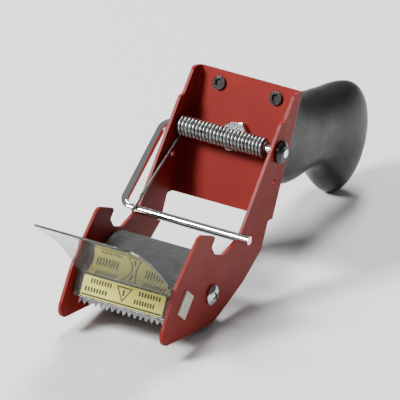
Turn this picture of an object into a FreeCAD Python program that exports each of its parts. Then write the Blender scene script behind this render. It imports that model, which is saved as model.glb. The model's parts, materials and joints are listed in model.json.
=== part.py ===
import FreeCAD, Part
import math
import os
import Sketcher

# A hand-held dispenser for 50 mm packing tape, as the separate pieces it is assembled from.
#
# Every piece is modelled in the frame of the sheet-metal head: +X points to the right cheek, forward is -Y
# and down is -Z. The origin is in the middle of the back plate's top edge, on the plate's rear face.
# "drop" is a distance down the plate, "forward" a distance in front of its rear face, "back" one behind it.
# At the end all pieces lean back together until the head and the grip's heel stand on one plane, and
# the origin moves to the middle of the assembly's footprint.

DIMENSIONS = {
    # head: one folded sheet with a back plate and two cheeks
    "inner_width": 52.0,
    "sheet": 1.5,
    "bend_radius": 2.5,
    "plate_height": 59.3,
    "corner_radius": 1.6,
    "ledge_radius": 1.0,
    "brow_radius": 3.0,
    "hook_radius": 5.0,
    "nose_radius": 5.7,
    "curve_radius": 26.0,
    # pivot of the swing arm, and a pair of plain holes below it for a lanyard
    "pivot_drop": 28.8,
    "pivot_forward": 10.6,
    "lanyard_hole_drop": 43.0,
    "lanyard_hole_forward": 9.3,
    "lanyard_hole_radius": 1.6,
    # swing arm, bent from round wire
    "wire_radius": 2.0,
    "wire_bend": 5.0,
    "arm_outset": 5.6,
    "crossbar_drop": 69.5,
    "crossbar_forward": 34.2,
    "crossbar_overhang": 7.2,
    "axle_overhang": 3.4,
    "push_nut_radius": 5.3,
    "push_nut_thick": 2.4,
    "push_nut_rim": 1.1,
    "push_nut_top": 3.3,
    "washer_radius": 4.4,
    "washer_thick": 0.8,
    # torsion spring and the sleeve that centres it
    "coil_radius": 3.95,
    "coil_wire": 0.78,
    "coil_length": 44.5,
    "coil_turns": 23.0,
    "leg_past_bar": 3.0,
    "leg_bar_gap": 0.2,
    "leg_hole_gap": 0.1,
    "sleeve_wall": 1.0,
    # roller
    "roller_drop": 97.0,
    "roller_forward": 45.1,
    "roller_radius": 17.6,
    "rubber_wall": 3.0,
    "core_bore": 8.0,
    "axle_radius": 4.0,
    "bush_flange": 10.0,
    "bush_flange_thick": 1.0,
    "bush_depth": 9.0,
    "roller_side_gap": 0.5,
    "roller_screw_radius": 2.45,
    "roller_screw_depth": 9.0,
    "roller_head_radius": 4.8,
    "roller_head_height": 2.8,
    # carrier with the blade, guard and label
    "slot_drop": 102.5,
    "slot_forward": 68.6,
    "slot_long": 12.0,
    "slot_short": 8.2,
    "slot_tilt": 17.0,
    "tenon_overhang": 0.7,
    "seat_forward": 74.6,
    "bar_top": 98.0,
    "bar_end_gap": 0.7,
    "bar_rear_top": 3.2,
    "bar_rear_drop": 6.0,
    "bar_bottom": 111.0,
    "blade_width": 44.6,
    "blade_thick": 0.8,
    "blade_top": 99.5,
    "blade_tips": 114.0,
    "tooth_pitch": 2.95,
    "tooth_depth": 2.4,
    "rivet_radius": 1.5,
    "rivet_drop": 105.0,
    "rivet_across": 16.0,
    "guard_wall": 1.2,
    "guard_width": 50.4,
    "guard_bottom": 110.9,
    "guard_lip": 8.0,
    "fold_drop": 98.9,
    "fold_radius": 0.6,
    "fold_gap": 0.2,
    "flap_wall": 1.0,
    "flap_arc_radius": 150.0,
    "flap_start_tilt": 30.0,
    "flap_turn": 23.0,
    "flap_corner": 6.0,
    "label_width": 43.0,
    "label_top": 100.4,
    "label_bottom": 110.2,
    "label_thick": 0.2,
    # grip of two shells, its base and its fasteners
    "grip_length": 112.0,
    "grip_wall": 2.4,
    "base_thick": 5.0,
    "base_width": 41.0,
    "base_top": 2.0,
    "base_bottom": 51.0,
    "base_corner": 7.0,
    "bolt_drop": 28.0,
    "bolt_radius": 4.0,
    "bolt_head_back": 20.0,
    "bolt_head_height": 5.3,
    "hex_across": 13.0,
    "nut_height": 4.0,
    "nut_turn": 10.0,
    "bolt_washer_radius": 8.0,
    "bolt_washer_thick": 1.6,
    "top_screw_across": 15.0,
    "top_screw_drop": 6.2,
    "top_screw_radius": 1.7,
    "top_screw_head": 3.2,
    "top_screw_height": 1.3,
    "top_screw_socket": 3.4,
    "top_screw_depth": 4.4,
    "shell_screw_radius": 1.5,
    "shell_screw_head": 3.0,
    "shell_screw_head_height": 2.2,
    "shell_screw_length": 13.5,
    "boss_radius": 4.2,
    "boss_floor": 4.0,
    # clearances
    "running_gap": 0.06,
    "screw_gap": 0.05,
    "body_gap": 0.35,
    "slot_gap": 0.15,
}

# Corners of the cheek's side view, in order: name, drop, forward, and the size that rounds the corner.
CHEEK_OUTLINE = [
    ("brow", 1.2, 8.0, "brow_radius"),
    ("ledge_back", 14.4, 12.0, "ledge_radius"),
    ("ledge_front", 15.9, 15.0, "ledge_radius"),
    ("bar_rest", 69.2, 29.9, "corner_radius"),
    ("notch_back", 78.3, 42.1, "corner_radius"),
    ("notch_front", 78.5, 50.4, "corner_radius"),
    ("hook_inner", 75.2, 55.6, "corner_radius"),
    ("hook_tip", 70.0, 53.4, "corner_radius"),
    ("hook_front", 70.0, 69.6, "hook_radius"),
    ("cheek_front", 96.2, 81.2, "curve_radius"),
    ("nose", 124.2, 84.6, "nose_radius"),
    ("belly", 109.8, 36.2, "curve_radius"),
    ("flank", 90.0, 16.4, "curve_radius"),
    ("throat", 74.6, 5.9, "corner_radius"),
    ("step_inner", 60.9, 5.8, "corner_radius"),
]

# A wire's knuckle is this much thicker than the wire, so that the ends of two runs lie inside it.
KNUCKLE = 1.04

# How near two lengths must be to count as one, and what counts as a long edge, in mm.
SAME_PLACE = 1e-4
LONG_EDGE = 20.0

# A pan head: the rim's share of its height, and its recess as shares of the head's radius.
RIM_SHARE = 0.4
RECESS_LONG = 0.95
RECESS_WIDE = 0.22

# Oval sections of the grip: share of its length, drop of the top and of the bottom, half width.
GRIP_SECTIONS = [
    (0.02, 4.0, 49.6, 18.8),
    (0.12, 5.5, 49.4, 18.0),
    (0.25, 6.8, 49.2, 17.2),
    (0.37, 6.6, 48.6, 16.4),
    (0.46, 5.4, 46.4, 15.4),
    (0.54, 4.0, 42.6, 14.6),
    (0.62, 2.2, 40.0, 14.0),
    (0.69, 0.6, 40.2, 14.0),
    (0.76, -1.4, 43.8, 14.2),
    (0.83, -2.8, 47.8, 14.2),
    (0.88, -3.0, 49.6, 13.8),
    (0.93, -1.4, 49.6, 12.6),
    (0.965, 2.0, 47.4, 10.4),
    (0.988, 7.0, 43.0, 7.4),
    (1.0, 13.0, 36.5, 4.2),
]

# Places of the screws that join the two grip shells: share of the grip's length, and drop.
SHELL_SCREWS = [(0.34, 24.0), (0.60, 16.0), (0.82, 34.0)]

doc = FreeCAD.newDocument("TapeDispenser")


class Size:
    """A number together with the spreadsheet expression that gives it."""

    def __init__(self, value, text):
        self.value = value
        self.text = text

    def combine(self, other, sign, value):
        return Size(value, f"({self.text} {sign} {as_size(other).text})")

    def __add__(self, other):
        return self.combine(other, "+", self.value + as_size(other).value)

    def __sub__(self, other):
        return self.combine(other, "-", self.value - as_size(other).value)

    def __mul__(self, other):
        return self.combine(other, "*", self.value * as_size(other).value)

    def __truediv__(self, other):
        return self.combine(other, "/", self.value / as_size(other).value)

    def __neg__(self):
        return Size(-self.value, f"(-1 * {self.text})")


def as_size(number):
    """Gives any number as a Size, so that sizes and plain numbers mix."""
    if isinstance(number, Size):
        return number
    return Size(float(number), repr(float(number)))


def make_sheet():
    """Writes the driving dimensions into a spreadsheet and returns them as sizes by name."""
    sheet = doc.addObject("Spreadsheet::Sheet", "Sizes")
    sizes = {}
    rows = dict(DIMENSIONS)
    for name, drop, forward, _ in CHEEK_OUTLINE:
        rows[name + "_drop"] = drop
        rows[name + "_forward"] = forward
    for row, (alias, value) in enumerate(rows.items(), start=1):
        sheet.set(f"A{row}", alias)
        sheet.set(f"B{row}", str(value))
        sheet.setAlias(f"B{row}", alias)
        sizes[alias] = Size(value, "Sizes." + alias)
    doc.recompute()
    return sizes


size = make_sheet()


def number(amount):
    return as_size(amount).value


def bind(item, **amounts):
    """Ties properties of an object to the spreadsheet."""
    for name, amount in amounts.items():
        item.setExpression(name, as_size(amount).text)


def spot(across, drop, forward):
    """The point at a distance across, down the plate and in front of its rear face."""
    return FreeCAD.Vector(number(across), -number(forward), -number(drop))


RIGHT = FreeCAD.Vector(1, 0, 0)
FORWARD = FreeCAD.Vector(0, -1, 0)
BACK = FreeCAD.Vector(0, 1, 0)
DOWN = FreeCAD.Vector(0, 0, -1)


def pointing(axis, start, turn=0.0):
    """The placement that puts a primitive's own Z axis along axis, from start, turned about it."""
    rotation = FreeCAD.Rotation(FreeCAD.Vector(0, 0, 1), axis)
    return FreeCAD.Placement(start, rotation.multiply(FreeCAD.Rotation(FreeCAD.Vector(0, 0, 1), turn)))


def cylinder(name, radius, length, start, axis, angle=360.0, turn=0.0):
    item = doc.addObject("Part::Cylinder", name)
    bind(item, Radius=radius, Height=length, Angle=angle)
    item.Placement = pointing(axis, start, turn)
    return item


def cone(name, radius_start, radius_end, length, start, axis):
    item = doc.addObject("Part::Cone", name)
    bind(item, Radius1=radius_start, Radius2=radius_end, Height=length)
    item.Placement = pointing(axis, start)
    return item


def ball(name, radius, centre, pole=FreeCAD.Vector(0, 0, 1)):
    item = doc.addObject("Part::Sphere", name)
    bind(item, Radius=radius)
    item.Placement = pointing(pole, centre)
    return item


def hexagon(name, across_flats, height, start, axis, turn=0.0):
    """A hexagonal prism, turned so that two flats are level when turn is 0."""
    item = doc.addObject("Part::Prism", name)
    item.Polygon = 6
    bind(item, Circumradius=as_size(across_flats) / math.sqrt(3), Height=height)
    item.Placement = pointing(axis, start, turn)
    return item


def box(name, low, high):
    """A box between two corners, each given as across, drop and forward."""
    item = doc.addObject("Part::Box", name)
    amounts = [as_size(b) - a for a, b in zip(low, high)]
    bind(item, Length=amounts[0], Height=amounts[1], Width=amounts[2])
    item.Placement.Base = spot(low[0], high[1], high[2])
    return item


def fuse(name, *items):
    item = doc.addObject("Part::MultiFuse", name)
    item.Shapes = list(items)
    return item


def cut(name, base, *tools):
    item = doc.addObject("Part::Cut", name)
    item.Base = base
    item.Tool = tools[0] if len(tools) == 1 else fuse(name + "_tools", *tools)
    return item


def common(name, first, second):
    item = doc.addObject("Part::Common", name)
    item.Base = first
    item.Tool = second
    return item


def rounded(name, base, radius, wanted):
    """Rounds the straight edges of base that wanted accepts."""
    doc.recompute()
    item = doc.addObject("Part::Fillet", name)
    item.Base = base
    amount = number(radius)
    item.Edges = [(i, amount, amount) for i, edge in enumerate(base.Shape.Edges, start=1) if wanted(edge)]
    return item


def runs_along(edge, axis):
    """True if an edge is straight and parallel to axis."""
    first, last = edge.Vertexes[0].Point, edge.Vertexes[-1].Point
    span = last - first
    return span.Length > 0 and span.cross(axis).Length < 1e-6 * span.Length


def origin_plane(body, role):
    return next(plane for plane in body.Origin.OriginFeatures if plane.Role == role)


def polygon_sketch(body, name, role, corners):
    """A closed sketch whose corners are each tied to the spreadsheet across and up from the origin."""
    sketch = body.newObject("Sketcher::SketchObject", name)
    sketch.AttachmentSupport = (origin_plane(body, role), [""])
    sketch.MapMode = "FlatFace"
    points = [FreeCAD.Vector(number(u), number(v), 0) for u, v in corners]
    count = len(points)
    for i, point in enumerate(points):
        sketch.addGeometry(Part.LineSegment(point, points[(i + 1) % count]), False)
    for i in range(count):
        sketch.addConstraint(Sketcher.Constraint("Coincident", i, 2, (i + 1) % count, 1))
    for i, corner in enumerate(corners):
        for kind, amount in zip(("DistanceX", "DistanceY"), corner):
            place_corner(sketch, kind, i, as_size(amount))
    return sketch


def place_corner(sketch, kind, index, amount):
    """Fixes one coordinate of a corner, with the sign that keeps the distance positive."""
    origin, corner = (-1, 1), (index, 1)
    ends = origin + corner if amount.value >= 0 else corner + origin
    shown = amount if amount.value >= 0 else -amount
    constraint = sketch.addConstraint(Sketcher.Constraint(kind, *ends, shown.value))
    sketch.setExpression(f"Constraints[{constraint}]", shown.text)


def side_corners(*corners):
    """Corners given as drop and forward, in the side view's own two axes."""
    return [(-as_size(forward), -as_size(drop)) for drop, forward in corners]


def pad(body, name, sketch, length):
    item = body.newObject("PartDesign::Pad", name)
    item.Profile = sketch
    item.SideType = "Symmetric"
    bind(item, Length=length)
    doc.recompute()
    return item


def pocket(body, name, sketch):
    """Cuts a sketch right through the body, and makes sure that it cut something."""
    before = body.Shape.Volume
    item = body.newObject("PartDesign::Pocket", name)
    item.Profile = sketch
    item.Type = "ThroughAll"
    item.SideType = "Symmetric"
    doc.recompute()
    if body.Shape.Volume > before - 1e-6:
        raise RuntimeError(name + " cuts nothing")
    return item


def fillet(body, name, base, radius, wanted):
    item = body.newObject("PartDesign::Fillet", name)
    edges = [f"Edge{i}" for i, edge in enumerate(base.Shape.Edges, start=1) if wanted(edge)]
    item.Base = (base, edges)
    bind(item, Radius=radius)
    doc.recompute()
    return item


def at_corner(drop, forward):
    """Accepts the edges across the head that pass through one corner of the side view."""
    place = spot(0, drop, forward)

    def wanted(edge):
        first = edge.Vertexes[0].Point
        near = abs(first.y - place.y) < 1e-4 and abs(first.z - place.z) < 1e-4
        return near and runs_along(edge, RIGHT)

    return wanted


half_inner = size["inner_width"] / 2
half_outer = half_inner + size["sheet"]
pivot = (size["pivot_drop"], size["pivot_forward"])
roller_axis = (size["roller_drop"], size["roller_forward"])
spring_left = -half_inner + size["coil_wire"] + size["body_gap"]
spring_right = spring_left + size["coil_length"]
spring_bottom = size["pivot_drop"] + size["coil_radius"]


def round_hole(name, radius, drop, forward):
    """A cutter that passes through both cheeks."""
    reach = half_outer * 2 + 2
    return cylinder(name, radius, reach, spot(-reach / 2, drop, forward), RIGHT)


def tilted_block(name, start, length, long_side, short_side):
    """A block along X with the tilted section of the carrier's slots, round the slots' centre."""
    item = doc.addObject("Part::Box", name)
    bind(item, Length=length, Width=short_side, Height=long_side)
    rotation = FreeCAD.Rotation(RIGHT, -number(size["slot_tilt"]))
    corner = FreeCAD.Vector(0, -number(short_side) / 2, -number(long_side) / 2)
    centre = spot(start, size["slot_drop"], size["slot_forward"])
    item.Placement = FreeCAD.Placement(centre + rotation.multVec(corner), rotation)
    return item


def make_frame_channel():
    """The head: a back plate with a cheek folded forward at each side."""
    body = doc.addObject("PartDesign::Body", "FrameBody")
    corners = [(0, 0)]
    corners += [(size[name + "_drop"], size[name + "_forward"]) for name, *_ in CHEEK_OUTLINE]
    corners += [(size["plate_height"], 0)]
    outline = polygon_sketch(body, "CheekOutline", "YZ_Plane", side_corners(*corners))
    feature = pad(body, "CheekPad", outline, half_outer * 2)
    for radius in sorted({radius for *_, radius in CHEEK_OUTLINE}):
        tests = [at_corner(drop, forward) for _, drop, forward, name in CHEEK_OUTLINE if name == radius]
        feature = fillet(body, "Round_" + radius, feature, size[radius], passes_any(tests))
    sheet = size["sheet"]
    front = size["nose_forward"] + 1
    inside = [(-half_inner, -sheet), (half_inner, -sheet), (half_inner, -front), (-half_inner, -front)]
    feature = pocket(body, "InsidePocket", polygon_sketch(body, "InsideOutline", "XY_Plane", inside))
    feature = fillet(body, "OuterBend", feature, size["bend_radius"], down_edge(0))
    fillet(body, "InnerBend", feature, size["bend_radius"] - sheet, down_edge(-number(sheet)))
    hole = size["lanyard_hole_radius"]
    through = sheet + 2
    cutters = [
        round_hole("PivotHole", size["wire_radius"] + size["running_gap"], *pivot),
        round_hole("LanyardHole", hole, size["lanyard_hole_drop"], size["lanyard_hole_forward"]),
        round_hole("RollerHole", size["roller_screw_radius"] + size["screw_gap"], *roller_axis),
        tilted_block("SlotCutter", -half_outer - 1, half_outer * 2 + 2,
                     size["slot_long"], size["slot_short"]),
        cylinder("BoltHole", size["bolt_radius"] + size["screw_gap"], through,
                 spot(0, size["bolt_drop"], -1), FORWARD),
        cylinder("SpringHole", size["coil_wire"] + size["leg_hole_gap"], through,
                 spot(spring_right, spring_bottom, -1), FORWARD),
    ]
    for side in (-1, 1):
        place = spot(size["top_screw_across"] * side, size["top_screw_drop"], -1)
        radius = size["top_screw_radius"] + size["screw_gap"]
        cutters.append(cylinder(f"TopScrewHole{side}", radius, through, place, FORWARD))
    return cut("frame_channel", body, *cutters)


def passes_any(tests):
    return lambda edge: any(test(edge) for test in tests)


def down_edge(y):
    """Accepts the long edges that run down the head at one Y."""
    def accepts(edge):
        at_y = abs(edge.Vertexes[0].Point.y - y) < SAME_PLACE
        return at_y and runs_along(edge, DOWN) and edge.Length > LONG_EDGE

    return accepts


def make_roller():
    """The rubber roller, its core, the two flanged bushes, the fixed axle and its two screws."""
    half_core = half_inner - size["roller_side_gap"] - size["bush_flange_thick"]
    core_radius = size["roller_radius"] - size["rubber_wall"]
    parts = {}

    def along(name, radius, half_length):
        return cylinder(name, radius, half_length * 2, spot(-half_length, *roller_axis), RIGHT)

    parts["roller_sleeve"] = cut(
        "RollerSleeve", along("SleeveOuter", size["roller_radius"], half_core),
        along("SleeveInner", core_radius, half_core + 1))
    parts["roller_core"] = cut(
        "RollerCore", along("CoreOuter", core_radius, half_core),
        along("CoreInner", size["core_bore"], half_core + 1))
    bore = size["axle_radius"] + size["running_gap"]
    for side, name in ((-1, "left"), (1, "right")):
        start = spot((half_core - size["bush_depth"]) * side, *roller_axis)
        barrel = cylinder(f"BushBarrel{name}", size["core_bore"] - size["screw_gap"],
                          size["bush_depth"], start, RIGHT * side)
        flange_start = spot(half_core * side, *roller_axis)
        flange = cylinder(f"BushFlange{name}", size["bush_flange"], size["bush_flange_thick"],
                          flange_start, RIGHT * side)
        parts["roller_bush_" + name] = cut(f"Bush{name}", fuse(f"BushSolid{name}", barrel, flange),
                                           along(f"BushBore{name}", bore, half_inner))
    rod = along("AxleRod", size["axle_radius"], half_inner)
    tapped = []
    screws = []
    for side in (-1, 1):
        head = spot(half_outer * side, *roller_axis)
        depth = size["roller_screw_depth"] + size["sheet"]
        radius = size["roller_screw_radius"] + size["screw_gap"]
        tapped.append(cylinder(f"AxleTap{side}", radius, depth + size["screw_gap"], head, RIGHT * -side))
        screws.append(pan_head_screw(f"RollerScrew{side}", head, RIGHT * side, size["roller_screw_radius"],
                                     depth, size["roller_head_radius"], size["roller_head_height"]))
    parts["roller_axle"] = cut("RollerAxle", rod, *tapped)
    parts["roller_screws"] = fuse("RollerScrews", *screws)
    return parts


def pan_head_screw(name, seat, axis, radius, depth, head_radius, head_height):
    """A cross-recess screw whose domed head stands on seat and whose shank goes the other way."""
    shank = cylinder(name + "Shank", radius, depth, seat, axis * -1)
    rim_height = head_height * RIM_SHARE
    crown = head_height - rim_height
    dome_radius = (head_radius * head_radius + crown * crown) / (crown * 2)
    dome = ball(name + "Dome", dome_radius, seat + axis * number(head_height - dome_radius))
    dome.Placement = pointing(axis, dome.Placement.Base)
    head = common(name + "Head", dome, cylinder(name + "Rim", head_radius, head_height, seat, axis))
    arm_long = number(head_radius) * RECESS_LONG
    arm_wide = number(head_radius) * RECESS_WIDE
    recess = []
    for turn in (45, 135):
        bar = doc.addObject("Part::Box", f"{name}Recess{turn}")
        bar.Length, bar.Width, bar.Height = arm_long, arm_wide, number(head_height)
        corner = FreeCAD.Vector(-arm_long / 2, -arm_wide / 2, 0)
        place = pointing(axis, seat + axis * (number(head_height) * RIM_SHARE), turn)
        bar.Placement = place.multiply(FreeCAD.Placement(corner, FreeCAD.Rotation()))
        recess.append(bar)
    return cut(name, fuse(name + "Blank", shank, head), *recess)


def make_carrier_group():
    """The carrier bar with its tenons, the toothed blade, two rivets, the clear guard and the label."""
    parts = {}
    rear_top = (size["bar_top"], size["slot_forward"] - size["bar_rear_top"])
    rear_bottom = (size["slot_drop"] + size["bar_rear_drop"], size["slot_forward"])
    body = doc.addObject("PartDesign::Body", "CarrierBody")
    section = side_corners(rear_top, rear_bottom, (size["bar_bottom"], size["seat_forward"]),
                           (size["bar_top"], size["seat_forward"]))
    inset = half_inner - size["bar_end_gap"]
    pad(body, "CarrierPad", polygon_sketch(body, "CarrierSection", "YZ_Plane", section), inset * 2)
    tenon_length = size["bar_end_gap"] + size["sheet"] + size["tenon_overhang"]
    tenon_section = (size["slot_long"] - size["slot_gap"] * 2, size["slot_short"] - size["slot_gap"] * 2)
    tenons = [
        tilted_block("TenonRight", inset, tenon_length, *tenon_section),
        tilted_block("TenonLeft", -inset - tenon_length, tenon_length, *tenon_section),
    ]
    rivet_start = size["seat_forward"] - 3
    guard_front = size["seat_forward"] + size["blade_thick"] + size["guard_wall"]
    rivet_length = guard_front - rivet_start
    holes, rivets = [], []
    for side in (-1, 1):
        place = spot(size["rivet_across"] * side, size["rivet_drop"], rivet_start)
        rivets.append(cylinder(f"Rivet{side}", size["rivet_radius"], rivet_length, place, FORWARD))
        holes.append((place, size["rivet_radius"] + size["screw_gap"]))

    def rivet_holes(name):
        return [cylinder(f"{name}{i}", radius, rivet_length + 1, place, FORWARD)
                for i, (place, radius) in enumerate(holes)]

    bar = fuse("CarrierBar", body, *tenons)
    parts["blade_carrier"] = cut("Carrier", bar, *rivet_holes("CarrierRivetHole"))
    parts["tear_blade"] = cut("Blade", make_blade_body(), *rivet_holes("BladeRivetHole"))
    parts["blade_rivets"] = fuse("Rivets", *rivets)
    half_guard = size["guard_width"] / 2
    guard_back = size["seat_forward"] + size["blade_thick"]
    leg = box("GuardLeg", (-half_guard, size["bar_top"] - size["guard_wall"], guard_back),
              (half_guard, size["guard_bottom"], guard_front))
    lip = box("GuardLip", (-half_guard, size["bar_top"] - size["guard_wall"], guard_back - size["guard_lip"]),
              (half_guard, size["bar_top"], guard_back))
    parts["guard_clip"] = cut("Guard", fuse("GuardBlank", leg, lip), *rivet_holes("GuardRivetHole"))
    parts["guard_flap"] = make_flap(half_guard, guard_front)
    half_label = size["label_width"] / 2
    parts["caution_label"] = box("Label", (-half_label, size["label_top"], guard_front),
                                 (half_label, size["label_bottom"], guard_front + size["label_thick"]))
    return parts


def make_blade_body():
    """The blade: a thin strip with a row of V notches along its lower edge."""
    body = doc.addObject("PartDesign::Body", "BladeBody")
    half = size["blade_width"] / 2
    strip = [(-half, -size["blade_top"]), (half, -size["blade_top"]),
             (half, -size["blade_tips"]), (-half, -size["blade_tips"])]
    outline = polygon_sketch(body, "BladeOutline", "XZ_Plane", strip)
    item = body.newObject("PartDesign::Pad", "BladePad")
    item.Profile = outline
    bind(item, Length=size["blade_thick"])
    doc.recompute()
    count = int(number(size["blade_width"]) / number(size["tooth_pitch"]))
    left = size["tooth_pitch"] * (-count / 2)
    notch = [(left, -size["blade_tips"]), (left + size["tooth_pitch"], -size["blade_tips"]),
             (left + size["tooth_pitch"] / 2, size["tooth_depth"] - size["blade_tips"])]
    cutter = pocket(body, "NotchPocket", polygon_sketch(body, "NotchOutline", "XZ_Plane", notch))
    one_notch = body.Shape.Volume
    pattern = body.newObject("PartDesign::LinearPattern", "NotchRow")
    pattern.Originals = [cutter]
    pattern.Direction = (outline, ["H_Axis"])
    pattern.Occurrences = count
    bind(pattern, Length=size["tooth_pitch"] * (count - 1))
    body.Tip = pattern
    doc.recompute()
    if body.Shape.Volume > one_notch - 1e-6:
        raise RuntimeError("the row of notches cuts nothing")
    front = -number(size["seat_forward"] + size["blade_thick"])
    body.Placement.Base.y = front - body.Shape.BoundBox.YMin
    return body


def make_flap(half_guard, guard_front):
    """The clear flap: a curved strip that rises forward from a bead along the fold."""
    fold = spot(-half_guard, size["fold_drop"], guard_front + size["fold_radius"] + size["fold_gap"])
    tilt = math.radians(number(size["flap_start_tilt"]))
    to_centre = FreeCAD.Vector(0, -math.sin(tilt), -math.cos(tilt))
    arc = size["flap_arc_radius"]
    centre = fold + to_centre * number(arc)
    rotation = axes_along(to_centre * -1, RIGHT)
    width = half_guard * 2

    def sector(name, radius, length, start):
        item = doc.addObject("Part::Cylinder", name)
        bind(item, Radius=radius, Height=length, Angle=size["flap_turn"])
        item.Placement = FreeCAD.Placement(start, rotation)
        return item

    wall = size["flap_wall"]
    outer = sector("FlapOuter", arc + wall / 2, width, centre)
    inner = sector("FlapInner", arc - wall / 2, width + 2, centre - RIGHT)
    sheet = cut("FlapSheet", outer, inner)
    doc.recompute()
    free_end = max(-vertex.Point.y for vertex in sheet.Shape.Vertexes) - number(wall)
    sheet = rounded("FlapRounded", sheet, size["flap_corner"],
                    lambda edge: edge.Length < number(wall) * 1.5 and -edge.Vertexes[0].Point.y > free_end)
    bead = cylinder("FlapBead", size["fold_radius"], width, fold, RIGHT)
    return fuse("Flap", sheet, bead)


def axes_along(x_axis, z_axis):
    """The rotation that turns an object's own X and Z axes to these directions."""
    return FreeCAD.Rotation(x_axis, z_axis.cross(x_axis), z_axis, "XYZ")


def make_swing_arm():
    """The wire arm: its axle, outer leg and crossbar with tangent bends, and what keeps it in place."""
    bend = size["wire_bend"]
    wire = size["wire_radius"]
    leg_across = -half_outer - size["arm_outset"]
    axle_start = spot(0, *pivot)
    bar_start = spot(0, size["crossbar_drop"], size["crossbar_forward"])
    leg_axis = (bar_start - axle_start).normalize()
    leg_length = (bar_start - axle_start).Length
    across = number(leg_across)
    straight = leg_length - 2 * number(bend)
    elbow = number(bend)
    axle_length = half_outer + size["axle_overhang"] - leg_across - bend
    bar_length = half_outer + size["crossbar_overhang"] - leg_across - bend
    corner_top = axle_start + RIGHT * across
    corner_low = bar_start + RIGHT * across
    pieces = [
        cylinder("ArmAxle", wire, axle_length, corner_top + RIGHT * elbow, RIGHT),
        cylinder("ArmLeg", wire, straight, corner_top + leg_axis * elbow, leg_axis),
        cylinder("ArmBar", wire, bar_length, corner_low + RIGHT * elbow, RIGHT),
        elbow_torus("ArmElbowTop", bend, wire, corner_top, RIGHT, leg_axis),
        elbow_torus("ArmElbowLow", bend, wire, corner_low, RIGHT, leg_axis * -1),
    ]
    parts = {"swing_arm": fuse("SwingArm", *pieces)}
    nut_start = spot(half_outer + size["body_gap"], *pivot)
    crown_start = spot(half_outer + size["body_gap"] + size["push_nut_rim"], *pivot)
    bore = cylinder("PushNutBore", wire, size["push_nut_thick"] + 2, nut_start - RIGHT, RIGHT)
    disc = cylinder("PushNutDisc", size["push_nut_radius"], size["push_nut_rim"], nut_start, RIGHT)
    crown = cone("PushNutCrown", size["push_nut_radius"], size["push_nut_top"],
                 size["push_nut_thick"] - size["push_nut_rim"], crown_start, RIGHT)
    parts["arm_push_nut"] = cut("PushNut", fuse("PushNutBlank", disc, crown), bore)
    washer_start = spot(-half_outer - size["body_gap"] - size["washer_thick"], *pivot)
    parts["arm_washer"] = cut(
        "Washer", cylinder("WasherDisc", size["washer_radius"], size["washer_thick"], washer_start, RIGHT),
        cylinder("WasherBore", wire, size["washer_thick"] + 2, washer_start - RIGHT, RIGHT))
    return parts


def elbow_torus(name, bend, wire, corner, first, second):
    """A quarter bend of wire that joins two runs which leave corner along first and second."""
    item = doc.addObject("Part::Torus", name)
    bind(item, Radius1=bend, Radius2=wire)
    item.Angle3 = 90
    reach = number(bend)
    centre = corner + first * reach + second * reach
    x_axis, y_axis = second * -1, first * -1
    item.Placement = FreeCAD.Placement(centre, FreeCAD.Rotation(x_axis, y_axis, x_axis.cross(y_axis), "XYZ"))
    return item


def make_spring():
    """The torsion spring on the arm's axle: its left leg bears on the crossbar, the right is in the plate."""
    coil, wire = size["coil_radius"], size["coil_wire"]
    axle = spot(spring_left, *pivot)
    bar = spot(spring_left, size["crossbar_drop"], size["crossbar_forward"])
    down_arm = (bar - axle).normalize()
    ahead = down_arm.cross(RIGHT)
    bar_clear = number(size["wire_radius"] + wire + size["leg_bar_gap"])
    contact = bar + ahead * bar_clear
    leg_start = tangent_point(axle, contact, number(coil), BACK)
    leg_end = contact + (contact - leg_start).normalize() * number(size["leg_past_bar"])
    spoke = (leg_start - axle).normalize()
    last = math.atan2(-1, 0) - math.atan2(spoke.z, spoke.y)
    turns = number(size["coil_turns"]) + (last / (2 * math.pi)) % 1.0
    helix = doc.addObject("Part::Helix", "CoilLine")
    helix.Pitch = number(size["coil_length"]) / turns
    bind(helix, Height=size["coil_length"], Radius=coil)
    helix.Placement = FreeCAD.Placement(axle, axes_along(spoke, RIGHT))
    ring = doc.addObject("Part::Circle", "CoilWire")
    bind(ring, Radius=wire)
    ring.Placement = pointing(RIGHT.cross(spoke), leg_start)
    coils = doc.addObject("Part::Sweep", "Coils")
    coils.Sections = [ring]
    coils.Spine = (helix, ["Edge1"])
    coils.Solid = True
    coils.Frenet = True
    plate_leg = spot(spring_right, spring_bottom, size["pivot_forward"])
    plate_leg_end = spot(spring_right, spring_bottom, size["leg_hole_gap"])
    knuckle = wire * KNUCKLE
    pieces = [
        coils,
        ball("CoilStart", knuckle, leg_start, leg_end - leg_start),
        straight_wire("MovingLeg", wire, leg_start, leg_end),
        ball("CoilEnd", knuckle, plate_leg, BACK),
        straight_wire("PlateLeg", wire, plate_leg, plate_leg_end),
    ]
    parts = {"torsion_spring": fuse("TorsionSpring", *pieces)}
    tube_bore = size["wire_radius"] + size["running_gap"]
    tube_start = spot(spring_left - wire, *pivot)
    tube_length = size["coil_length"] + wire * 2
    parts["spring_sleeve"] = cut(
        "SpringSleeve",
        cylinder("TubeOuter", tube_bore + size["sleeve_wall"], tube_length, tube_start, RIGHT),
        cylinder("TubeInner", tube_bore, tube_length + 2, tube_start - RIGHT, RIGHT))
    return parts


def straight_wire(name, radius, start, end):
    run = end - start
    length = run.Length
    return cylinder(name, radius, length, start, run.normalize())


def tangent_point(centre, target, radius, side):
    """The point of a circle about centre, on the given side, whose tangent passes through target."""
    run = target - centre
    distance = run.Length
    along = run.normalize()
    away = RIGHT.cross(along)
    if away.dot(side) < 0:
        away = away * -1
    cosine = radius / distance
    return centre + along * (radius * cosine) + away * (radius * math.sqrt(1 - cosine * cosine))


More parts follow.
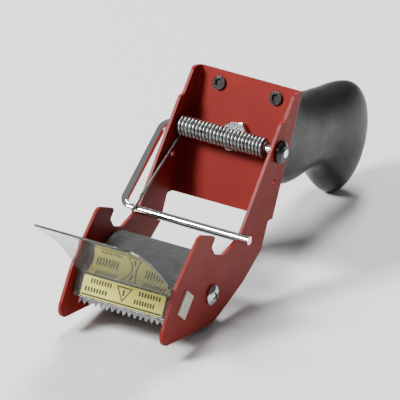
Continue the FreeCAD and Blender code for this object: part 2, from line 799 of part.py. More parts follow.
def grip_loft(name, inset, start, skipped):
    """A loft through the grip's oval sections, drawn in by inset, from start to before the skipped ones."""
    rings = []
    sections = GRIP_SECTIONS[: len(GRIP_SECTIONS) - skipped]
    for i, (share, top, bottom, half_width) in enumerate(sections):
        back = size["grip_length"] * share if i else as_size(start)
        ring = doc.addObject("Part::Ellipse", f"{name}Ring{i}")
        bind(ring, MajorRadius=as_size((bottom - top) / 2) - inset, MinorRadius=as_size(half_width) - inset)
        ring.Placement = FreeCAD.Placement(spot(0, (top + bottom) / 2, -back), axes_along(DOWN, BACK))
        rings.append(ring)
    loft = doc.addObject("Part::Loft", name)
    loft.Sections = rings
    loft.Solid = True
    loft.Ruled = False
    return loft


def make_grip():
    """The grip: two hollow shells on a wide base, their screws, and what clamps them to the plate."""
    half_base = size["base_width"] / 2
    slab = box("GripSlab", (-half_base, size["base_top"], -size["base_thick"]),
               (half_base, size["base_bottom"], 0))
    slab = rounded("GripBase", slab, size["base_corner"], lambda e: runs_along(e, BACK))
    skin = fuse("GripSkin", slab, grip_loft("GripOuter", 0, size["base_thick"] * 0.4, 0))
    hollow = cut("GripHollow", skin, grip_loft("GripInner", size["grip_wall"], size["base_thick"], 3))
    bolt_reach = size["bolt_head_back"] + size["bolt_head_height"]
    tower = cylinder("BoltTower", size["bolt_washer_radius"] + size["grip_wall"], bolt_reach,
                     spot(0, size["bolt_drop"], 0), BACK)
    bosses = []
    for i, (share, drop) in enumerate(SHELL_SCREWS):
        place = spot(-18, drop, -size["grip_length"] * share)
        bosses.append(cylinder(f"Boss{i}", size["boss_radius"], 36, place, RIGHT))
    posts = common("GripPosts", fuse("GripPostBlanks", tower, *bosses), skin_copy())
    cutters = grip_cutters()
    solid = cut("GripSolid", fuse("GripFull", hollow, posts), *cutters)
    parts = {}
    for side, name in ((-1, "left"), (1, "right")):
        inner, outer = sorted((0, 30 * side))
        half = box(f"GripHalf{name}", (inner, -20, -size["grip_length"] - 10), (outer, 70, 1))
        parts["handle_shell_" + name] = common(f"GripShell{name}", solid, half)
    parts.update(make_grip_fasteners())
    return parts


def skin_copy():
    """The grip's outer shape again, to trim what stands inside it."""
    half_base = size["base_width"] / 2
    slab = box("TrimSlab", (-half_base, size["base_top"], -size["base_thick"]),
               (half_base, size["base_bottom"], 0))
    slab = rounded("TrimBase", slab, size["base_corner"], lambda e: runs_along(e, BACK))
    return fuse("TrimSkin", slab, grip_loft("TrimOuter", 0, size["base_thick"] * 0.4, 0))


def screw_seat(share, drop):
    """Where a shell screw's head sits on the left: at a fixed depth of plastic from the parting plane."""
    return spot(-size["boss_floor"], drop, -size["grip_length"] * share)


def grip_cutters():
    """Everything that is cut out of the grip's solid plastic."""
    gap = size["screw_gap"]
    reach = size["bolt_head_back"] + size["bolt_head_height"] + 1
    washer_back = size["bolt_head_back"] - size["bolt_washer_thick"]
    items = [
        cylinder("BoltBore", size["bolt_radius"] + gap, reach, spot(0, size["bolt_drop"], 1), BACK),
        cylinder("WasherPocket", size["bolt_washer_radius"] + gap, reach - washer_back,
                 spot(0, size["bolt_drop"], -washer_back), BACK),
    ]
    for side in (-1, 1):
        place = spot(size["top_screw_across"] * side, size["top_screw_drop"], 1)
        radius = size["top_screw_radius"] + gap
        items.append(cylinder(f"GripTopHole{side}", radius, size["base_thick"] + 2, place, BACK))
    for i, (share, drop) in enumerate(SHELL_SCREWS):
        seat = screw_seat(share, drop)
        depth = size["shell_screw_length"] + gap
        items.append(cylinder(f"ShellScrewHole{i}", size["shell_screw_radius"] + gap, depth, seat, RIGHT))
        items.append(cylinder(f"ShellScrewWell{i}", size["shell_screw_head"] + gap * 4, 20, seat, RIGHT * -1))
    return items


def make_grip_fasteners():
    """The shell screws, the bolt with its washer and thin nut, and the two socket screws at the top."""
    parts = {}
    screws = []
    for i, (share, drop) in enumerate(SHELL_SCREWS):
        seat = screw_seat(share, drop)
        screws.append(pan_head_screw(f"ShellScrew{i}", seat, RIGHT * -1, size["shell_screw_radius"],
                                     size["shell_screw_length"], size["shell_screw_head"],
                                     size["shell_screw_head_height"]))
    parts["handle_shell_screws"] = fuse("ShellScrews", *screws)
    nut_face = size["sheet"] + size["nut_height"]
    head = hexagon("BoltHead", size["hex_across"], size["bolt_head_height"],
                   spot(0, size["bolt_drop"], -size["bolt_head_back"]), BACK)
    shank = cylinder("BoltShank", size["bolt_radius"], nut_face + size["bolt_head_back"],
                     spot(0, size["bolt_drop"], nut_face), BACK)
    parts["handle_bolt"] = fuse("Bolt", head, shank)
    washer_back = size["bolt_head_back"] - size["bolt_washer_thick"]
    washer_start = spot(0, size["bolt_drop"], -washer_back)
    parts["handle_bolt_washer"] = cut(
        "BoltWasher", cylinder("BoltWasherDisc", size["bolt_washer_radius"], size["bolt_washer_thick"],
                               washer_start, BACK),
        cylinder("BoltWasherBore", size["bolt_radius"] + size["screw_gap"], size["bolt_washer_thick"] + 2,
                 washer_start + FORWARD, BACK))
    nut_start = spot(0, size["bolt_drop"], size["sheet"])
    blank = hexagon("NutHex", size["hex_across"], size["nut_height"], nut_start, FORWARD,
                    number(size["nut_turn"]))
    flat = size["hex_across"] / 2
    chamfer = cone("NutChamfer", flat + size["nut_height"], flat, size["nut_height"], nut_start, FORWARD)
    nut = common("NutBlank", blank, chamfer)
    bore = cylinder("NutBore", size["bolt_radius"] + size["screw_gap"], size["nut_height"] + 2,
                    nut_start + BACK, FORWARD)
    parts["clamp_nut"] = cut("Nut", nut, bore)
    top = []
    for side in (-1, 1):
        seat = spot(size["top_screw_across"] * side, size["top_screw_drop"], size["sheet"])
        depth = size["sheet"] + size["top_screw_depth"]
        shank = cylinder(f"TopShank{side}", size["top_screw_radius"], depth, seat, BACK)
        head = cylinder(f"TopHead{side}", size["top_screw_head"], size["top_screw_height"], seat, FORWARD)
        socket = hexagon(f"TopSocket{side}", size["top_screw_socket"], size["top_screw_height"] + 1,
                         seat + FORWARD * 0.3, FORWARD, 30)
        top.append(cut(f"TopScrew{side}", fuse(f"TopBlank{side}", shank, head), socket))
    parts["handle_top_screws"] = fuse("TopScrews", *top)
    return parts


def check(items):
    """Stops if any object failed, or if any sub-part has no valid shape."""
    for item in doc.Objects:
        if "Invalid" in item.State or "Error" in item.State:
            raise RuntimeError(f"{item.Name} failed: {item.State}")
    for label, item in items.items():
        if item.Shape.isNull() or not item.Shape.isValid():
            raise RuntimeError(f"{label} has no valid shape")


def outer_points(item):
    return item.Shape.tessellate(0.05)[0]


def lowest(points, lean):
    """How low points reach once the head leans back by an angle in degrees."""
    turned = FreeCAD.Rotation(RIGHT, -lean)
    return min(turned.multVec(point).z for point in points)


def standing_lean(front_points, rear_points):
    """The lean at which the head and the grip's heel reach equally low."""
    low, high = 0.0, 60.0
    for _ in range(40):
        middle = (low + high) / 2
        if lowest(front_points, middle) < lowest(rear_points, middle):
            low = middle
        else:
            high = middle
    return low


def stand_up(items):
    """Leans all pieces back together and moves the origin to the middle of their footprint."""
    front = outer_points(items["frame_channel"]) + outer_points(items["roller_sleeve"])
    lean = standing_lean(front, outer_points(items["handle_shell_left"]))
    turned = FreeCAD.Rotation(RIGHT, -lean)
    points = [turned.multVec(point) for item in items.values() for point in outer_points(item)]
    centre_x = (min(p.x for p in points) + max(p.x for p in points)) / 2
    centre_y = (min(p.y for p in points) + max(p.y for p in points)) / 2
    shift = FreeCAD.Vector(-centre_x, -centre_y, -min(p.z for p in points))
    stance = FreeCAD.Placement(shift, turned)
    for item in items.values():
        item.Placement = stance.multiply(item.Placement)
    report_places(stance, lean)


def report_places(stance, lean):
    """Prints where the joint axes and the crossbar lie once the assembly stands."""
    guard_front = size["seat_forward"] + size["blade_thick"] + size["guard_wall"]
    places = {
        "pivot": spot(0, *pivot),
        "roller": spot(0, *roller_axis),
        "fold": spot(0, size["fold_drop"], guard_front + size["fold_radius"] + size["fold_gap"]),
        "crossbar": spot(0, size["crossbar_drop"], size["crossbar_forward"]),
        "lanyard_hole": spot(0, size["lanyard_hole_drop"], size["lanyard_hole_forward"]),
        "plate_top": spot(0, 0, 0),
    }
    print(f"lean {lean:.3f} degrees")
    for name, place in places.items():
        moved = stance.multVec(place)
        print(f"{name}: {moved.x:.4f} {moved.y:.4f} {moved.z:.4f}")


def main():
    items = {"frame_channel": make_frame_channel()}
    for part in (make_roller, make_carrier_group, make_swing_arm, make_spring, make_grip):
        items.update(part())
    doc.recompute()
    check(items)
    stand_up(items)
    doc.recompute()
    for label, item in items.items():
        item.Label = label
    check(items)
    os.makedirs("parts", exist_ok=True)
    for label, item in items.items():
        item.Shape.exportStep(f"parts/{label}.step")
        print(f"{label}: {item.Shape.Volume:.1f} mm3, {len(item.Shape.Solids)} solid")


main()
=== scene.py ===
import json
import math

import bmesh
import bpy
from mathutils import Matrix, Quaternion, Vector


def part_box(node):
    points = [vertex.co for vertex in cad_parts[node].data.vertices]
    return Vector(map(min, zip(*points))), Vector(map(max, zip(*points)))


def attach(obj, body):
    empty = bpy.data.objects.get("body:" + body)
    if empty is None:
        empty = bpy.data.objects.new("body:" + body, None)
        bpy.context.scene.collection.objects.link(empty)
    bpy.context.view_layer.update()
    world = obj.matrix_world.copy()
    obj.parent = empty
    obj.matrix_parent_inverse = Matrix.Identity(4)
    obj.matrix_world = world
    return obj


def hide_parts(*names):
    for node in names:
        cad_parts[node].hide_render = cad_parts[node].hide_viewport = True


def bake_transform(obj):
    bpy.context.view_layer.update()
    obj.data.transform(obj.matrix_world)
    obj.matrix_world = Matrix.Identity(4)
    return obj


# The looks of a hand-held tape dispenser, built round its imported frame. Blender works in metres; the sizes
# below are in millimetres, and "drop" and "forward" are distances in the head's own side view: down its
# back plate from the top edge, and in front of the plate's rear face.

MM = 0.001

PIVOT = (28.8, 10.6)
ROLLER = (97.0, 45.1)
CROSSBAR = (69.5, 34.2)

ROLLER_RADIUS = 17.6
SLEEVE_WALL = 3.0
KNURL_PITCH = 1.2
KNURL_DEPTH = 0.24
KNURL_STEPS = 5
KNURL_LEAD = 0.3

COIL_RADIUS = 3.95
COIL_WIRE = 0.78
COIL_TURNS = 23
COIL_LENGTH = 44.5
COIL_LEFT = -24.87
LEG_PAST_BAR = 3.0
LEG_BAR_GAP = 0.2
CROSSBAR_RADIUS = 2.0
PLATE_LEG_END = 0.15

LABEL_HALF_WIDTH = 21.5
LABEL_TOP = 100.4
LABEL_BOTTOM = 110.2
LABEL_FORWARD = 76.6
LABEL_CORNER = 0.8
FILM_THICK = 0.14
INK_THICK = 0.03
BAR_SHARE = 0.66
BAR_HALF_HEIGHT = 1.1

COIL_STEPS = 32
WIRE_SIDES = 14

FLOOR_REACH = 4.0
FLOOR_DROP = 0.0002

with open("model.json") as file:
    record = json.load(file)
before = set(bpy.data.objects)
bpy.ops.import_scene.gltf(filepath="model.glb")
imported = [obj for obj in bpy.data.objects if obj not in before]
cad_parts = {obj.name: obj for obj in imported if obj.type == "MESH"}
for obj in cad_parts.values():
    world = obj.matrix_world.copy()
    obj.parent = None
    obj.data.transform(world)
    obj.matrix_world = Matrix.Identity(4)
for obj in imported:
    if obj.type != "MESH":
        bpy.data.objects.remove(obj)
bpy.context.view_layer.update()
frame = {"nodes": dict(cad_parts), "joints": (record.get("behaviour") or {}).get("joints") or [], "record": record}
nodes = frame["nodes"]
joints = {joint["name"]: joint for joint in frame["joints"]}

# The head's axes, from where its two rotation axes lie in the frame.
pivot_point = Vector(joints["arm_swing"]["pos_m"])
roller_point = Vector(joints["roller_spin"]["pos_m"])
run = roller_point - pivot_point
lean = math.atan2(-run.y, -run.z) - math.atan2(ROLLER[1] - PIVOT[1], ROLLER[0] - PIVOT[0])
RIGHT = Vector((1, 0, 0))
DOWN = Vector((0, -math.sin(lean), -math.cos(lean)))
FORWARD = Vector((0, -math.cos(lean), math.sin(lean)))
plate_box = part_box("frame_channel")
middle_x = (plate_box[0][0] + plate_box[1][0]) / 2


def head(across, drop, forward):
    """The point at a place in the head's own axes, given in millimetres."""
    start = Vector((middle_x, pivot_point.y, pivot_point.z))
    offset = RIGHT * across + DOWN * (drop - PIVOT[0]) + FORWARD * (forward - PIVOT[1])
    return start + offset * MM


# ---------------------------------------------------------------- materials


class Finish:
    """A Principled material whose nodes are added one by one."""

    def __init__(self, name, **inputs):
        self.material = bpy.data.materials.new(name)
        self.material.use_nodes = True
        self.tree = self.material.node_tree
        self.shader = self.tree.nodes["Principled BSDF"]
        for socket, value in inputs.items():
            self.shader.inputs[socket.replace("_", " ")].default_value = value

    def add(self, kind, **inputs):
        node = self.tree.nodes.new(kind)
        for socket, value in inputs.items():
            node.inputs[socket.replace("_", " ")].default_value = value
        return node

    def link(self, source, target):
        self.tree.links.new(source, target)

    def place(self, scale=(1, 1, 1)):
        """Object coordinates, stretched."""
        coordinates = self.add("ShaderNodeTexCoord")
        mapping = self.add("ShaderNodeMapping", Scale=scale)
        self.link(coordinates.outputs["Object"], mapping.inputs["Vector"])
        return mapping.outputs["Vector"]

    def noise(self, scale, detail=3.0, roughness=0.5, stretch=(1, 1, 1)):
        node = self.add("ShaderNodeTexNoise", Scale=scale, Detail=detail, Roughness=roughness)
        self.link(self.place(stretch), node.inputs["Vector"])
        return node.outputs["Fac"]

    def span(self, source, low, high, bottom=0.3, top=0.7):
        """Maps a noise value onto a range."""
        node = self.add("ShaderNodeMapRange", From_Min=bottom, From_Max=top, To_Min=low, To_Max=high)
        self.link(source, node.inputs["Value"])
        return node.outputs["Result"]

    def colours(self, source, *stops):
        """Colours along a noise value, each stop a place and a colour."""
        ramp = self.add("ShaderNodeValToRGB")
        elements = ramp.color_ramp.elements
        for element, (place, colour) in zip(elements, stops):
            element.position = place
            element.color = (*colour, 1)
        for place, colour in stops[2:]:
            element = elements.new(place)
            element.color = (*colour, 1)
        self.link(source, ramp.inputs["Fac"])
        self.link(ramp.outputs["Color"], self.shader.inputs["Base Color"])
        return ramp.outputs["Color"]

    def roughness(self, source, low, high):
        self.link(self.span(source, low, high), self.shader.inputs["Roughness"])

    def bumps(self, *layers):
        """Bump layers, each a height source and a depth in millimetres."""
        normal = None
        for source, depth in layers:
            bump = self.add("ShaderNodeBump", Strength=1.0, Distance=depth * MM)
            self.link(source, bump.inputs["Height"])
            if normal:
                self.link(normal, bump.inputs["Normal"])
            normal = bump.outputs["Normal"]
        self.link(normal, self.shader.inputs["Normal"])


def red_paint():
    """Enamel over steel: slight orange peel, a little cloudiness and fine dust."""
    finish = Finish("red_paint", Specular_IOR_Level=0.12, Coat_Weight=0.02, Coat_Roughness=0.2)
    cloud = finish.noise(38, 4, 0.6)
    finish.colours(cloud, (0.3, (0.185, 0.011, 0.008)), (0.7, (0.220, 0.014, 0.010)))
    finish.roughness(finish.noise(120, 4, 0.6), 0.38, 0.5)
    finish.bumps((finish.noise(900, 2, 0.5), 0.012), (finish.noise(3200, 2, 0.5), 0.004))
    return finish.material


def grip_plastic():
    """Moulded polymer with a fine spark-eroded grain."""
    finish = Finish("grip_plastic", Specular_IOR_Level=0.32)
    cloud = finish.noise(22, 3, 0.55)
    finish.colours(cloud, (0.3, (0.0085, 0.0090, 0.0080)), (0.7, (0.0120, 0.0125, 0.0115)))
    finish.roughness(finish.noise(260, 3, 0.6), 0.33, 0.43)
    finish.bumps((finish.noise(1900, 2, 0.55), 0.030), (finish.noise(5200, 2, 0.5), 0.010))
    return finish.material


def metal(name, dark, light, rough, stretch=(1, 1, 1), grain=700, depth=0.003):
    """Bare or plated metal with a fine directional grain."""
    finish = Finish(name, Metallic=1.0)
    cloud = finish.noise(grain / 8, 4, 0.6, stretch)
    finish.colours(cloud, (0.3, dark), (0.7, light))
    finish.roughness(finish.noise(grain, 3, 0.6, stretch), rough * 0.75, rough * 1.3)
    finish.bumps((finish.noise(grain * 2, 2, 0.5, stretch), depth),)
    return finish.material


def black_steel():
    """Blackened steel fasteners with a thin film of oil."""
    finish = Finish("black_steel", Metallic=0.7, Coat_Weight=0.3, Coat_Roughness=0.2)
    finish.colours(finish.noise(300, 4, 0.6), (0.3, (0.012, 0.012, 0.013)), (0.7, (0.03, 0.03, 0.032)))
    finish.roughness(finish.noise(900, 3, 0.6), 0.28, 0.45)
    finish.bumps((finish.noise(2600, 2, 0.5), 0.005),)
    return finish.material


def rubber():
    """Dark grey rubber with dusty high spots."""
    finish = Finish("knurled_rubber", Specular_IOR_Level=0.3, Sheen_Weight=0.05, Sheen_Roughness=0.5)
    finish.colours(finish.noise(160, 5, 0.65), (0.3, (0.012, 0.013, 0.012)), (0.72, (0.028, 0.030, 0.028)))
    finish.roughness(finish.noise(500, 3, 0.6), 0.5, 0.68)
    finish.bumps((finish.noise(3500, 2, 0.55), 0.02),)
    return finish.material


def polymer(name, dark, light, rough, **inputs):
    """Plain moulded polymer."""
    finish = Finish(name, Specular_IOR_Level=0.45, **inputs)
    finish.colours(finish.noise(90, 3, 0.5), (0.3, dark), (0.7, light))
    finish.roughness(finish.noise(500, 3, 0.5), rough * 0.85, rough * 1.2)
    finish.bumps((finish.noise(2200, 2, 0.5), 0.008),)
    return finish.material


def clear_plastic():
    """Clear sheet, a little hazed by handling, with long faint waves."""
    finish = Finish("clear_plastic", Transmission_Weight=0.9, IOR=1.5, Specular_IOR_Level=0.7)
    finish.colours(finish.noise(40, 3, 0.5), (0.3, (0.44, 0.455, 0.44)), (0.7, (0.50, 0.515, 0.50)))
    finish.roughness(finish.noise(180, 4, 0.65), 0.02, 0.08)
    finish.bumps((finish.noise(60, 1, 0.4, (1, 0.5, 0.5)), 0.02), (finish.noise(1500, 2, 0.5), 0.0008))
    return finish.material


def printed_film(name, dark, light):
    """Printed label film with a faint mottle of ink."""
    finish = Finish(name, Specular_IOR_Level=0.3, Coat_Weight=0.12, Coat_Roughness=0.12)
    finish.colours(finish.noise(420, 4, 0.65), (0.3, dark), (0.7, light))
    finish.roughness(finish.noise(700, 2, 0.5), 0.36, 0.5)
    finish.bumps((finish.noise(1200, 2, 0.5), 0.004),)
    return finish.material


def floor_paint():
    finish = Finish("floor", Specular_IOR_Level=0.2)
    finish.colours(finish.noise(3, 2, 0.5), (0.3, (0.83, 0.83, 0.82)), (0.7, (0.85, 0.85, 0.845)))
    finish.roughness(finish.noise(9, 2, 0.5), 0.75, 0.85)
    return finish.material


finishes = {
    "red_paint": red_paint(),
    "grip_plastic": grip_plastic(),
    "black_steel": black_steel(),
    "zinc_steel": metal("zinc_steel", (0.42, 0.43, 0.43), (0.58, 0.59, 0.58), 0.22,
                        (1, 1, 1), 300, 0.001),
    "core_plastic": polymer("core_plastic", (0.10, 0.10, 0.10), (0.14, 0.14, 0.14), 0.45),
    "knurled_rubber": rubber(),
    "nylon": polymer("nylon", (0.62, 0.60, 0.54), (0.70, 0.68, 0.62), 0.4, Subsurface_Weight=0.1),
    "carrier_metal": polymer("carrier_metal", (0.50, 0.46, 0.36), (0.60, 0.56, 0.45), 0.4),
    "blade_steel": metal("blade_steel", (0.74, 0.75, 0.76), (0.86, 0.87, 0.88), 0.22,
                         (0.08, 1, 1), 1400, 0.004),
    "clear_plastic": clear_plastic(),
    "label_film": printed_film("label_film", (0.56, 0.52, 0.10), (0.64, 0.60, 0.13)),
    "wire_chrome": metal("wire_chrome", (0.80, 0.80, 0.80), (0.90, 0.90, 0.90), 0.09,
                         (0.2, 1, 1), 500, 0.001),
    "spring_steel": metal("spring_steel", (0.30, 0.31, 0.31), (0.40, 0.41, 0.41), 0.30,
                          (1, 1, 1), 200, 0.0005),
}
label_ink = printed_film("label_ink", (0.045, 0.045, 0.02), (0.07, 0.07, 0.03))


def wear(piece, material):
    piece.data.materials.clear()
    piece.data.materials.append(material)


def soften(piece, width, angle=32):
    """Gives a CAD node the small radius that its edges really have, without changing its mesh."""
    weld = piece.modifiers.new("Weld", "WELD")
    weld.merge_threshold = 0.000002
    bevel = piece.modifiers.new("Bevel", "BEVEL")
    bevel.width = width * MM
    bevel.segments = 2
    bevel.limit_method = "ANGLE"
    bevel.angle_limit = math.radians(angle)
    bevel.harden_normals = False
    bevel.use_clamp_overlap = True
    normals = piece.modifiers.new("Normals", "WEIGHTED_NORMAL")
    normals.keep_sharp = True
    normals.weight = 60


# ---------------------------------------------------------------- mesh pieces


def new_piece(name, bm, slot, material=None, smooth=True):
    """Turns a bmesh into a named object with its finish."""
    mesh = bpy.data.meshes.new(name)
    bmesh.ops.recalc_face_normals(bm, faces=bm.faces)
    for face in bm.faces:
        face.smooth = smooth
    bm.to_mesh(mesh)
    bm.free()
    piece = bpy.data.objects.new(name, mesh)
    bpy.context.scene.collection.objects.link(piece)
    wear(piece, material or finishes[slot])
    return piece


def bridge(bm, first, second):
    """Faces between two rings of vertices of the same count."""
    count = len(first)
    for i in range(count):
        j = (i + 1) % count
        bm.faces.new((first[i], first[j], second[j], second[i]))


def tube(points, radius, sides):
    """A closed tube along points, its rings turned as little as possible from one to the next."""
    bm = bmesh.new()
    rings = []
    side = Vector((0, 0, 1))
    for i, point in enumerate(points):
        ahead = points[min(i + 1, len(points) - 1)] - points[max(i - 1, 0)]
        ahead.normalize()
        side = (side - ahead * side.dot(ahead)).normalized()
        other = ahead.cross(side)
        ring = []
        for k in range(sides):
            angle = 2 * math.pi * k / sides
            ring.append(bm.verts.new(point + (side * math.cos(angle) + other * math.sin(angle)) * radius))
        rings.append(ring)
    for first, second in zip(rings, rings[1:]):
        bridge(bm, first, second)
    bm.faces.new(rings[0])
    bm.faces.new(reversed(rings[-1]))
    return bm


def tangent_point(centre, target, radius, side):
    """The point of a circle about centre, on the given side, whose tangent passes through target."""
    reach = target - centre
    along = reach.normalized()
    away = RIGHT.cross(along)
    if away.dot(side) < 0:
        away = -away
    cosine = radius / reach.length
    return centre + along * radius * cosine + away * radius * math.sqrt(1 - cosine * cosine)


def torsion_spring():
    """One wire: the leg on the crossbar, the coils on the arm's axle and the leg in the back plate."""
    axle = head(COIL_LEFT, *PIVOT)
    bar = head(COIL_LEFT, *CROSSBAR)
    coil = COIL_RADIUS * MM
    down_arm = (bar - axle).normalized()
    ahead = down_arm.cross(RIGHT)
    bar_clear = (CROSSBAR_RADIUS + COIL_WIRE + LEG_BAR_GAP) * MM
    contact = bar + ahead * bar_clear
    leg_start = tangent_point(axle, contact, coil, -FORWARD)
    leg_end = contact + (contact - leg_start).normalized() * LEG_PAST_BAR * MM
    first = (leg_start - axle).normalized()
    rising = RIGHT.cross(first)
    rest = math.atan2(DOWN.dot(rising), DOWN.dot(first)) % (2 * math.pi)
    sweep = 2 * math.pi * COIL_TURNS + rest
    steps = COIL_TURNS * COIL_STEPS
    points = [leg_end + (leg_start - leg_end) * share for share in (0, 0.25, 0.5, 0.75, 0.96)]
    for i in range(steps + 1):
        angle = sweep * i / steps
        spoke = first * math.cos(angle) + rising * math.sin(angle)
        points.append(axle + spoke * coil + RIGHT * COIL_LENGTH * MM * i / steps)
    plate_leg = points[-1]
    drop = PIVOT[0] + COIL_RADIUS
    plate_end = head(COIL_LEFT + COIL_LENGTH, drop, PLATE_LEG_END)
    points += [plate_leg.lerp(plate_end, share) for share in (0.1, 0.5, 1.0)]
    piece = new_piece("torsion_spring_wire", tube(points, COIL_WIRE * MM, WIRE_SIDES), "spring_steel")
    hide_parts("torsion_spring")
    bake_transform(piece)


def triangle_wave(value):
    return abs((value % 1.0) * 2 - 1)


def roller_sleeve():
    """The rubber sleeve with its crossed knurl cut into the surface."""
    low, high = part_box("roller_sleeve")
    left, right = low[0], high[0]
    around = int(2 * math.pi * ROLLER_RADIUS / KNURL_PITCH)
    sides = around * KNURL_STEPS
    rows = int((right - left) / (KNURL_PITCH * MM) * KNURL_STEPS)
    chamfer_rows = 3
    bm = bmesh.new()
    rings = []
    for row in range(rows + 1):
        x = left + (right - left) * row / rows
        lead = (x - left) / (KNURL_PITCH * MM)
        from_end = min(row, rows - row)
        ring = []
        for k in range(sides):
            turn = k / KNURL_STEPS
            ridge = min(triangle_wave(turn + lead * KNURL_LEAD), triangle_wave(turn - lead * KNURL_LEAD))
            depth = KNURL_DEPTH * (1 - min(1.0, ridge * 1.7))
            if from_end < chamfer_rows:
                depth = max(depth, KNURL_DEPTH * (1 + (chamfer_rows - from_end) * 0.5))
            radius = (ROLLER_RADIUS - depth) * MM
            angle = 2 * math.pi * k / sides
            place = (x, roller_point.y + radius * math.cos(angle), roller_point.z + radius * math.sin(angle))
            ring.append(bm.verts.new(place))
        rings.append(ring)
    bore = (ROLLER_RADIUS - SLEEVE_WALL) * MM
    for x in (right, left):
        ring = []
        for k in range(sides):
            angle = 2 * math.pi * k / sides
            ring.append(bm.verts.new((x, roller_point.y + bore * math.cos(angle),
                                      roller_point.z + bore * math.sin(angle))))
        rings.append(ring)
    for first, second in zip(rings, rings[1:]):
        bridge(bm, first, second)
    bridge(bm, rings[-1], rings[0])
    piece = new_piece("roller_rubber", bm, "knurled_rubber")
    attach(piece, "roller")
    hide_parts("roller_sleeve")


def flat_shape(name, outline, forward, thick, material):
    """A thin printed shape on the label, from its outline given as across and drop."""
    bm = bmesh.new()
    backs = [bm.verts.new(head(across, drop, forward)) for across, drop in outline]
    fronts = [bm.verts.new(head(across, drop, forward + thick)) for across, drop in outline]
    bridge(bm, backs, fronts)
    bm.faces.new(reversed(backs))
    bm.faces.new(fronts)
    piece = new_piece(name, bm, "label_film", material, smooth=False)
    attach(piece, "root")
    return piece


def bar_outline(left, right, top, bottom, corner, steps=3):
    """A rectangle with rounded corners."""
    centres = [(right - corner, top + corner, -90), (right - corner, bottom - corner, 0),
               (left + corner, bottom - corner, 90), (left + corner, top + corner, 180)]
    points = []
    for x, y, start in centres:
        for i in range(steps + 1):
            angle = math.radians(start + 90 * i / steps)
            points.append((x + corner * math.cos(angle), y + corner * math.sin(angle)))
    return points


def ring_shape(name, outline, share, forward, thick, material):
    """A closed band: an outline with the same outline, drawn in, taken out of it."""
    centre = (sum(p[0] for p in outline) / len(outline), sum(p[1] for p in outline) / len(outline))
    inner = [(centre[0] + (x - centre[0]) * share, centre[1] + (y - centre[1]) * share) for x, y in outline]
    bm = bmesh.new()
    rings = []
    front = forward + thick
    for points, depth in ((outline, forward), (outline, front), (inner, front), (inner, forward)):
        rings.append([bm.verts.new(head(x, y, depth)) for x, y in points])
    for first, second in zip(rings, rings[1:] + rings[:1]):
        bridge(bm, first, second)
    piece = new_piece(name, bm, "label_film", material, smooth=False)
    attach(piece, "root")
    return piece


def label_artwork():
    """The label: a yellow film with plain bars, a triangle and a dark line along its lower edge."""
    edge = bar_outline(-LABEL_HALF_WIDTH, LABEL_HALF_WIDTH, LABEL_TOP, LABEL_BOTTOM, LABEL_CORNER)
    film = flat_shape("label_base", edge, LABEL_FORWARD, FILM_THICK, finishes["label_film"])
    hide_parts("caution_label")
    ink_face, ink = LABEL_FORWARD + FILM_THICK, INK_THICK
    line_top = LABEL_BOTTOM - 1.3
    flat_shape("label_line", bar_outline(-LABEL_HALF_WIDTH + 0.5, LABEL_HALF_WIDTH - 0.5, line_top,
                                         LABEL_BOTTOM - 0.5, 0.2), ink_face, ink, label_ink)
    centre = (LABEL_TOP + line_top) / 2
    triangle = [(4.3, centre - 3.3), (-4.3, centre - 3.3), (0.0, centre + 3.9)]
    ring_shape("label_triangle", triangle, 0.74, ink_face, ink, label_ink)
    flat_shape("label_triangle_dot", bar_outline(-0.5, 0.5, centre - 2.0, centre + 0.9, 0.4), ink_face, ink,
               label_ink)
    rows = [centre - 2.1, centre + 1.9]
    bars = {-1: [(-17.6, -6.2), (-19.8, -7.8)], 1: [(7.6, 19.6), (6.0, 17.2)]}
    for side, spans in bars.items():
        for row, (left, right) in zip(rows, spans):
            bar_count = 8
            step = (right - left) / bar_count
            for i in range(bar_count):
                start = left + step * i
                flat_shape(f"label_bar_{'left' if side < 0 else 'right'}_{rows.index(row)}_{i}",
                           bar_outline(start, start + step * BAR_SHARE, row - BAR_HALF_HEIGHT,
                                       row + BAR_HALF_HEIGHT, 0.25, 2),
                           ink_face, ink, label_ink)


# ---------------------------------------------------------------- dressing the frame

EDGE_RADII = {
    "frame_channel": 0.22, "blade_carrier": 0.15, "tear_blade": 0.06, "guard_clip": 0.15, "guard_flap": 0.18,
    "clamp_nut": 0.18, "handle_bolt": 0.15, "handle_top_screws": 0.15, "roller_screws": 0.12,
    "arm_push_nut": 0.15, "arm_washer": 0.1, "roller_bush_left": 0.1, "roller_bush_right": 0.1,
    "handle_shell_left": 0.25, "handle_shell_right": 0.25, "swing_arm": 0.25, "blade_rivets": 0.1,
}

slots = {part["node"]: part["material_slot"] for part in frame["record"]["subparts"]}
for name, piece in nodes.items():
    wear(piece, finishes[slots[name]])
    if name in EDGE_RADII:
        soften(piece, EDGE_RADII[name])

torsion_spring()
roller_sleeve()
label_artwork()

# ---------------------------------------------------------------- stage, light and camera


def floor():
    bm = bmesh.new()
    signs = ((-1, -1), (1, -1), (1, 1), (-1, 1))
    corners = [bm.verts.new((x * FLOOR_REACH, y * FLOOR_REACH, -FLOOR_DROP)) for x, y in signs]
    bm.faces.new(corners)
    mesh = bpy.data.meshes.new("floor")
    bm.to_mesh(mesh)
    bm.free()
    piece = bpy.data.objects.new("floor", mesh)
    bpy.context.scene.collection.objects.link(piece)
    wear(piece, floor_paint())


def softbox(name, place, size, energy, spread=180, aim=(0, -0.01, 0.04)):
    data = bpy.data.lights.new(name, "AREA")
    data.shape = "RECTANGLE"
    data.size, data.size_y = size
    data.energy = energy
    data.spread = math.radians(spread)
    lamp = bpy.data.objects.new(name, data)
    lamp.location = place
    lamp.rotation_euler = (Vector(place) - Vector(aim)).to_track_quat("Z", "Y").to_euler()
    bpy.context.scene.collection.objects.link(lamp)


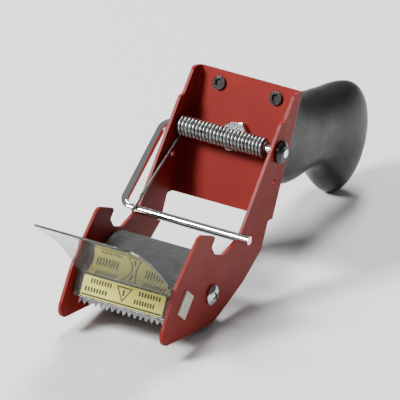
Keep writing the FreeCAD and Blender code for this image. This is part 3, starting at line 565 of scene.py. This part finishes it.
def sky():
    """An even pale surround, darker towards the horizon so that bright metal has something to mirror."""
    world = bpy.data.worlds.new("studio")
    world.use_nodes = True
    tree = world.node_tree
    background = tree.nodes["Background"]
    coordinates = tree.nodes.new("ShaderNodeTexCoord")
    split = tree.nodes.new("ShaderNodeSeparateXYZ")
    ramp = tree.nodes.new("ShaderNodeValToRGB")
    ramp.color_ramp.elements[0].position = 0.05
    ramp.color_ramp.elements[0].color = (0.10, 0.10, 0.10, 1)
    ramp.color_ramp.elements[1].position = 0.6
    ramp.color_ramp.elements[1].color = (0.75, 0.76, 0.78, 1)
    tree.links.new(coordinates.outputs["Generated"], split.inputs["Vector"])
    tree.links.new(split.outputs["Z"], ramp.inputs["Fac"])
    tree.links.new(ramp.outputs["Color"], background.inputs["Color"])
    background.inputs["Strength"].default_value = 0.3
    bpy.context.scene.world = world


CAMERA_AZIMUTH = 30.5
CAMERA_ELEVATION = 28.3
# The lean of the head for which these two angles hold: at another lean the camera turns with the head.
CAMERA_LEAN = 27.004
# Far enough for the photo's flat perspective.
CAMERA_DISTANCE = 6.0
VIEW_WIDTH = 0.18307
SENSOR = 36.0
AIM = head(-6.67, 59.8, 10.1)


def camera():
    azimuth, elevation = math.radians(CAMERA_AZIMUTH), math.radians(CAMERA_ELEVATION)
    back = Vector((math.sin(azimuth) * math.cos(elevation), -math.cos(azimuth) * math.cos(elevation),
                   math.sin(elevation)))
    turn = Quaternion(RIGHT, math.radians(CAMERA_LEAN) - lean)
    data = bpy.data.cameras.new("camera")
    data.sensor_width = SENSOR
    data.lens = SENSOR * CAMERA_DISTANCE / VIEW_WIDTH
    data.clip_start, data.clip_end = 0.1, 50
    data.dof.use_dof = False
    eye = bpy.data.objects.new("camera", data)
    eye.location = AIM + turn @ back * CAMERA_DISTANCE
    eye.rotation_euler = (turn @ back.to_track_quat("Z", "Y")).to_euler()
    bpy.context.scene.collection.objects.link(eye)
    bpy.context.scene.camera = eye


floor()
softbox("key", (-0.75, -1.0, 1.1), (0.45, 0.45), 48, aim=(0, 0.0, 0.06))
softbox("top", (-0.3, 0.7, 1.4), (0.35, 1.0), 30)
sky()
camera()
